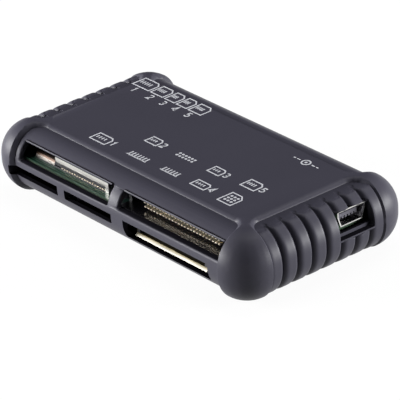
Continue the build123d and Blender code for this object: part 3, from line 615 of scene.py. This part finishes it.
def digit(number, left, low, height):
    """A slot number as strokes of lines and arcs, drawn in a box 1 wide and 1.6 high and then scaled."""
    strokes = {
        1: [[(0.2, 1.25), (0.5, 1.6), (0.5, 0)]],
        2: [np.concatenate([arc((0.5, 1.15), 0.45, 160, -40), [(0.05, 0), (1, 0)]])],
        3: [np.concatenate([arc((0.45, 1.2), 0.4, 150, -80), arc((0.45, 0.42), 0.42, 80, -150)])],
        4: [[(0.75, 0), (0.75, 1.6), (0.05, 0.5), (1, 0.5)]],
        5: [np.concatenate([[(0.9, 1.6), (0.2, 1.6), (0.12, 0.9)], arc((0.45, 0.5), 0.5, 125, -150)])],
    }[number]
    scale = height / DIGIT_RISE
    return [np.asarray(stroke) * scale + (left, low) for stroke in strokes]


def numbered_card(left, low, width, height, contacts):
    """A card outline as a closed path and its contacts as open ones."""
    cut = height * CUT_SHARE
    pitch = (width - cut) / (contacts + 1)
    length = height * STRIPE_SHARE
    inner = stripes(left + pitch, low + height - 2 * length, pitch, contacts, length)
    return [card_outline(left, low, width, height)], inner


def key_strokes(digit_height, card_height):
    """The key: five cards in a row with their numbers below them."""
    closed, drawn = [], []
    left = KEY_LEFT
    for number, (width, contacts) in enumerate(KEY_CARDS, start=1):
        outline, inner = numbered_card(left, KEY_LOW, width, card_height, contacts)
        digit_left = left + (width - DIGIT_WIDTH * digit_height / DIGIT_RISE) / 2
        closed += outline
        drawn += inner + digit(number, digit_left, KEY_DIGITS_LOW, digit_height)
        left += width + KEY_GAP
    return closed, drawn


def mark_strokes(digit_height):
    """The marks over the slots: numbered cards, rows of contacts, rows of pins and a framed block of pins."""
    closed, drawn = [], []
    for x, y, width, height, contacts, number in CARD_MARKS:
        digit_width = DIGIT_WIDTH * digit_height / DIGIT_RISE
        left = x - (width + DIGIT_GAP + digit_width) / 2
        outline, inner = numbered_card(left, y - height / 2, width, height, contacts)
        closed += outline
        drawn += inner + digit(number, left + width + DIGIT_GAP, y - digit_height / 2, digit_height)
    for x, y, count in CONTACT_MARKS:
        left = x - CONTACT_PITCH * (count - 1) / 2
        low = y - CONTACT_LENGTH / 2
        drawn += stripes(left, low, CONTACT_PITCH, count, CONTACT_LENGTH)
        drawn.append(np.array([(left - CONTACT_PITCH / 2, low), (2 * x - left + CONTACT_PITCH / 2, low)]))
    for x, y, columns, rows in DOT_MARKS + ((*PIN_MARK, 3, 3),):
        across = x + DOT_PITCH * (np.arange(columns) - (columns - 1) / 2)
        along = y + DOT_PITCH * (np.arange(rows) - (rows - 1) / 2)
        closed += [arc((a, b), DOT_RADIUS, 0, 315, 8) for a in across for b in along]
    width, height = PIN_FRAME
    closed.append(card_outline(PIN_MARK[0] - width / 2, PIN_MARK[1] - height / 2, width, height))
    return closed, drawn


def lamp_strokes(ring):
    """The lamp's mark: a ring round a dot, with dashes that fade to both sides."""
    x, y = LAMP_MARK
    closed = [arc(LAMP_MARK, ring / 2, 0, 345, 24), arc(LAMP_MARK, DOT_RADIUS, 0, 315, 8)]
    drawn = [
        np.array([(x + way * near, y), (x + way * far, y)])
        for near, far in LAMP_DASHES for way in (-1, 1)
    ]
    return closed, drawn


def printed(name, strokes, sizes, ink):
    """A print: every path is a flat stroke that stands on the top of the case by the thickness of the ink."""
    closed, drawn = strokes
    low, high = TOP_Z - sizes.film, TOP_Z + sizes.film
    shapes = [slab(path * MM, sizes.stroke, low, high, closed=True) for path in closed]
    shapes += [slab(path * MM, sizes.stroke, low, high) for path in drawn]
    piece(name, joined(shapes), ink)


class READER_OT_print(bpy.types.Operator):
    """Prints the slot key, the slot marks and the lamp's ring on the top of the case."""
    bl_idname = "reader.print"
    bl_label = "Print"

    def execute(self, context):
        sizes = context.scene.reader_print
        ink = printing_ink()
        printed("slot_key_print", key_strokes(sizes.digit_height / MM, sizes.key_height / MM), sizes, ink)
        printed("slot_marks_print", mark_strokes(sizes.digit_height / MM), sizes, ink)
        printed("lamp_ring_print", lamp_strokes(sizes.ring / MM), sizes, ink)
        return {"FINISHED"}


# Entry of the slim-card connector, in millimetres

ENTRY_LEFT = -30.4
ENTRY_BAND = (15.0, 16.3)  # lower and upper edge of the bright band
ENTRY_COMB_LOW = 14.0
ENTRY_TOOTH_PITCH = 0.7
ENTRY_THICK = 0.15
ENTRY_TOOTH_WIDTH = 0.5
FOOT_CLEAR = 2.0  # the comb ends before the foot of the lip


def slim_entry():
    """The connector's entry: a bright band over its lip, and a black comb before the contacts whose dark
    teeth are painted shade.

    Band and teeth are flat strokes along the case.
    """
    lip_low, lip_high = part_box("slim_card_shell")
    front = lip_low.y / MM
    right = lip_high.x / MM
    band = slab(np.array([(ENTRY_LEFT, front), (right, front)]) * MM, ENTRY_THICK * MM,
                ENTRY_BAND[0] * MM, ENTRY_BAND[1] * MM)
    starts = np.arange(ENTRY_LEFT, right - FOOT_CLEAR, ENTRY_TOOTH_PITCH)
    teeth = [
        slab(np.array([(x, front - ENTRY_THICK), (x + ENTRY_TOOTH_WIDTH, front - ENTRY_THICK)]) * MM,
             ENTRY_THICK * MM, ENTRY_COMB_LOW * MM, ENTRY_BAND[0] * MM)
        for x in starts
    ]
    return band, joined(teeth)


class READER_OT_connectors(bpy.types.Operator):
    """Finishes the card connectors and adds the bright band of the slim-card entry and the black comb of
    painted shade before its contacts.
    """
    bl_idname = "reader.connectors"
    bl_label = "Card connectors"

    def execute(self, context):
        sheet = metal("tinned_steel_sheet", "#eeece6", 0.3, 0.3, "x")
        dress(("slim_card_shell", "small_card_shell_left", "small_card_shell_right"), sheet)
        # painted shade: the cover is pale at its lip and turns dark beige towards its top edge
        satin = metal("satin_tinned_sheet", "#8d8a82", 0.55, 0.3, "x", shade_above=("#4a4433", 5.6, 6.2))
        dress(("square_card_cover",), satin)
        black = plain_plastic("glass_filled_black", "#1b1a1e", 0.5, 0.5)
        dress(("slim_card_base", "square_card_base", "small_card_base_left", "small_card_base_right"),
              black)
        dress(("wide_card_header",), plain_plastic("polished_black", "#0e0d11", 0.26, 0.5))
        gilt = metal("gold_flashed_bronze", "#fff3de", 0.32, 0.15, "y")
        dress(("wide_card_pins", "slim_card_contacts", "square_card_contacts", "small_card_contacts_left",
               "small_card_contacts_right"), gilt)
        # painted highlight: the leaf is pale at its foot; painted shade: it is dark brown above
        leaf = metal("phosphor_bronze_leaf", "#837f7a", 0.3, 0.2, "x", shade_above=("#2a211c", 13.5, 14.0))
        dress(("card_detect_spring",), leaf)
        # painted shade: the black comb darkens the contacts below the bright band
        band, shade_comb = slim_entry()
        piece("slim_entry_band", band, sheet)
        piece("slim_entry_shade_comb", shade_comb, black)
        return {"FINISHED"}


class READER_OT_inlet(bpy.types.Operator):
    """Finishes the USB inlet: nickel shell, grey tongue and gilt strips."""
    bl_idname = "reader.inlet"
    bl_label = "USB inlet"

    def execute(self, context):
        dress(("usb_shell",), metal("nickel_plated_shell", "#f0efec", 0.14, 0.2, "x"))
        dress(("usb_insulator",), plain_plastic("moulded_grey_tongue", "#44424c", 0.45, 0.3))
        dress(("usb_contacts",), bpy.data.materials["gold_flashed_bronze"])
        return {"FINISHED"}


LEAD_PATH = ((-0.2, 0.75), (0.3, 0.75), (0.6, 0.1), (1.1, 0.1))
LEAD_THICK = 0.15 * MM
LEAD_WIDTH = 0.35 * MM
LEAD_PITCH = 0.8 * MM
LEAD_COUNT = 8
TRACKS = ((0.35, 0.25), (1.2, 0.18), (1.9, 0.18))
TRACK_RISE = 0.03 * MM
TRACK_MARGIN = 2.0 * MM


def chip_leads():
    """Gull-wing leads: one stroke with two bends, repeated along a side and turned to all four sides."""
    corners, faces = slab(np.array(LEAD_PATH) * MM, LEAD_THICK, -LEAD_WIDTH / 2, LEAD_WIDTH / 2)
    middle = (CHIP_LOW + CHIP_HIGH) / 2
    half = np.array([CHIP_HIGH.x - CHIP_LOW.x, CHIP_HIGH.y - CHIP_LOW.y] * 2) / 2
    turn = np.arange(4) * np.pi / 2
    row = (np.arange(LEAD_COUNT) - (LEAD_COUNT - 1) / 2) * LEAD_PITCH
    out = corners[:, 0] + half[:, None, None]
    along = corners[:, 2] + row[:, None]
    x = middle.x + out * np.cos(turn)[:, None, None] - along * np.sin(turn)[:, None, None]
    y = middle.y + out * np.sin(turn)[:, None, None] + along * np.cos(turn)[:, None, None]
    z = np.broadcast_to(BOARD_HIGH.z + corners[:, 1], x.shape)
    every = np.stack([x, y, z], -1).reshape(-1, 3)
    starts = np.arange(4 * LEAD_COUNT) * len(corners)
    return every, (faces + starts[:, None, None]).reshape(-1, 4)


def board_tracks():
    """Copper tracks along the front edge of the board: straight strokes at set distances from the edge."""
    header_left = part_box("wide_card_header")[0].x
    ends = np.array([BOARD_LOW.x + TRACK_MARGIN, header_left - TRACK_MARGIN])
    return joined([
        slab(np.stack([ends, np.full(2, BOARD_LOW.y + back * MM)], 1), width * MM,
             BOARD_HIGH.z - TRACK_RISE, BOARD_HIGH.z + TRACK_RISE)
        for back, width in TRACKS
    ])


class READER_OT_board(bpy.types.Operator):
    """Finishes the circuit board and the parts on it."""
    bl_idname = "reader.board"
    bl_label = "Circuit board"

    def execute(self, context):
        dress(("circuit_board",), board_laminate())
        dress(("controller_chip",), bpy.data.materials["glass_filled_black"])
        dress(("timing_crystal",), bpy.data.materials["tinned_steel_sheet"])
        dress(("capacitors",), plain_plastic("fired_tan_ceramic", "#a58a67", 0.4, 0.3))
        dress(("resistors",), plain_plastic("glazed_black_ceramic", "#202024", 0.3, 0.3))
        dress(("access_lamp",), lamp_lens())
        piece("chip_leads", chip_leads(), bpy.data.materials["tinned_steel_sheet"])
        piece("board_tracks", board_tracks(), masked_copper())
        return {"FINISHED"}


class READER_OT_screws(bpy.types.Operator):
    """Finishes the two case screws in bright zinc."""
    bl_idname = "reader.screws"
    bl_label = "Case screws"

    def execute(self, context):
        dress(("case_screws",), metal("zinc_plated_steel", "#c9ccd0", 0.3, 0.3, "z"))
        return {"FINISHED"}


# Stage, in metres and degrees

FLOOR_FLAT = 2.5
FLOOR_RADIUS = 4.0
FLOOR_RISE = 0.8
FLOOR_DROP = 0.02 * MM
FLOOR_GLOW = 0.94
LIGHT_DISTANCE = 0.9
LEFT_PLACE, LEFT_SIZE = (-45, 10), (0.8, 0.3)  # azimuth and elevation, width and height
RIGHT_PLACE, RIGHT_SIZE = (137, 9), (0.5, 0.25)
TOP_PLACE, TOP_SIZE = (200, 70), (0.8, 0.8)
AIM_RIGHT = 1.2 * MM
AIM_DOWN = 5.3 * MM


def make_floor():
    """A round white floor: flat in the middle, then rising with the square of the distance past the flat."""
    turn = np.linspace(0, 2 * np.pi, 97)[:-1]
    flat = np.linspace(0, FLOOR_FLAT, 4)
    slope = np.linspace(FLOOR_FLAT, FLOOR_RADIUS, 13)[1:]
    radius = np.concatenate([flat[1:], slope])
    rise = np.clip((radius - FLOOR_FLAT) / (FLOOR_RADIUS - FLOOR_FLAT), 0, 1) ** 2 * FLOOR_RISE
    x = radius[:, None] * np.cos(turn)
    y = radius[:, None] * np.sin(turn)
    z = np.broadcast_to(rise[:, None], x.shape)
    rings = np.stack([x, y, z], -1).reshape(-1, 3)
    corners = np.concatenate([rings, [[0, 0, 0]]]) - np.array([0, 0, FLOOR_DROP])
    count = len(turn)
    here = np.arange(count)
    after = (here + 1) % count
    ring = np.arange(len(radius) - 1)[:, None] * count
    outer = ring + count
    bands = np.stack([ring + here, outer + here, outer + after, ring + after], -1).reshape(-1, 4)
    middle = np.stack([here, after, np.full(count, len(rings))], -1)
    mesh = bpy.data.meshes.new("floor")
    mesh.from_pydata(corners.tolist(), [], bands.tolist() + middle.tolist())
    mesh.update()
    mesh.materials.append(white_sweep())
    floor = bpy.data.objects.new("floor", mesh)
    bpy.context.scene.collection.objects.link(floor)


def white_sweep():
    """White paper sweep: it takes the shadow, and shows near white to the eye and in reflections."""
    material = bpy.data.materials.new("white_paper_sweep")
    material.use_nodes = True
    tree = material.node_tree
    tree.nodes.clear()
    paper = add(tree, "ShaderNodeBsdfDiffuse", {"Color": linear("#474747")})
    path = add(tree, "ShaderNodeLightPath")
    seen = add(tree, "ShaderNodeMath",
               links={0: path.outputs["Is Camera Ray"], 1: path.outputs["Is Glossy Ray"]},
               operation="ADD", use_clamp=True)
    shown = add(tree, "ShaderNodeMath", links={0: seen.outputs[0], 1: path.outputs["Is Transmission Ray"]},
                operation="ADD", use_clamp=True)
    glow = add(tree, "ShaderNodeMath", {1: FLOOR_GLOW}, {0: shown.outputs[0]}, operation="MULTIPLY")
    white = add(tree, "ShaderNodeEmission", {"Color": linear("#ffffff")}, {"Strength": glow.outputs[0]})
    both = add(tree, "ShaderNodeAddShader", links={0: paper.outputs[0], 1: white.outputs[0]})
    add(tree, "ShaderNodeOutputMaterial", links={"Surface": both.outputs[0]})
    return material


def make_room(strength):
    """A dim even room round the stage."""
    world = bpy.data.worlds.new("room")
    world.use_nodes = True
    background = world.node_tree.nodes["Background"]
    background.inputs["Color"].default_value = linear("#f4f6ff")
    background.inputs["Strength"].default_value = strength
    bpy.context.scene.world = world


def outward(azimuth, elevation):
    """The direction from the reader to a place round it: azimuth 0 faces the slots, 90 the inlet."""
    a, e = math.radians(azimuth), math.radians(elevation)
    return Vector((math.sin(a) * math.cos(e), -math.cos(a) * math.cos(e), math.sin(e)))


def softbox(name, azimuth, elevation, size, power):
    """A rectangular softbox that faces the reader."""
    lamp = bpy.data.lights.new(name, "AREA")
    lamp.shape = "RECTANGLE"
    lamp.size, lamp.size_y = size
    lamp.energy = power
    placed = bpy.data.objects.new(name, lamp)
    away = outward(azimuth, elevation)
    placed.location = BODY_CENTRE + away * LIGHT_DISTANCE
    placed.rotation_euler = away.to_track_quat("Z", "Y").to_euler()
    bpy.context.scene.collection.objects.link(placed)


def make_camera(stage):
    """The camera at the photograph's angle, with its small roll, aimed a little past the reader's middle."""
    back = outward(math.degrees(stage.azimuth), math.degrees(stage.elevation))
    right = Vector((math.cos(stage.azimuth), math.sin(stage.azimuth), 0))
    up = back.cross(right)
    across = math.cos(stage.roll) * right - math.sin(stage.roll) * up
    upward = math.sin(stage.roll) * right + math.cos(stage.roll) * up
    eye = BODY_CENTRE + back * stage.distance
    aim = BODY_CENTRE + across * AIM_RIGHT - upward * AIM_DOWN
    away = (eye - aim).normalized()
    side = upward.cross(away).normalized()
    rotation = Matrix((side, away.cross(side), away)).transposed()
    camera = bpy.data.cameras.new("camera")
    camera.lens = stage.lens
    camera.clip_start = 0.01
    camera.clip_end = 50
    placed = bpy.data.objects.new("camera", camera)
    placed.location = eye
    placed.rotation_euler = rotation.to_euler()
    bpy.context.scene.collection.objects.link(placed)
    bpy.context.scene.camera = placed


class READER_OT_stage(bpy.types.Operator):
    """Sets the pale floor, the softboxes, the dim room and the camera."""
    bl_idname = "reader.stage"
    bl_label = "Stage"

    def execute(self, context):
        stage = context.scene.reader_stage
        context.scene.view_settings.view_transform = "Standard"
        make_floor()
        make_room(stage.room)
        softbox("softbox_left", *LEFT_PLACE, LEFT_SIZE, stage.left_power)
        softbox("softbox_right", *RIGHT_PLACE, RIGHT_SIZE, stage.right_power)
        softbox("softbox_top", *TOP_PLACE, TOP_SIZE, stage.top_power)
        make_camera(stage)
        return {"FINISHED"}


class READER_PT_panel(bpy.types.Panel):
    """Shows a button for each of the reader's steps."""
    bl_idname = "READER_PT_panel"
    bl_label = "Card reader"
    bl_space_type = "VIEW_3D"
    bl_region_type = "UI"
    bl_category = "Card reader"

    def draw(self, context):
        for operator in OPERATORS:
            self.layout.operator(operator.bl_idname)


GROUPS = {
    "reader_finishes": ReaderFinishes,
    "reader_print": ReaderPrint,
    "reader_stage": ReaderStage,
}
OPERATORS = (
    READER_OT_case,
    READER_OT_ribs,
    READER_OT_beads,
    READER_OT_print,
    READER_OT_connectors,
    READER_OT_inlet,
    READER_OT_board,
    READER_OT_screws,
    READER_OT_stage,
)


def register():
    for name, group in GROUPS.items():
        bpy.utils.register_class(group)
        setattr(bpy.types.Scene, name, bpy.props.PointerProperty(type=group))
    for operator in OPERATORS:
        bpy.utils.register_class(operator)
    bpy.utils.register_class(READER_PT_panel)


def unregister():
    bpy.utils.unregister_class(READER_PT_panel)
    for operator in reversed(OPERATORS):
        bpy.utils.unregister_class(operator)
    for name, group in GROUPS.items():
        delattr(bpy.types.Scene, name)
        bpy.utils.unregister_class(group)


def main():
    register()
    bpy.ops.reader.case()
    bpy.ops.reader.ribs()
    bpy.ops.reader.beads()
    bpy.ops.reader.print()
    bpy.ops.reader.connectors()
    bpy.ops.reader.inlet()
    bpy.ops.reader.board()
    bpy.ops.reader.screws()
    bpy.ops.reader.stage()


if __name__ == "__main__":
    main()
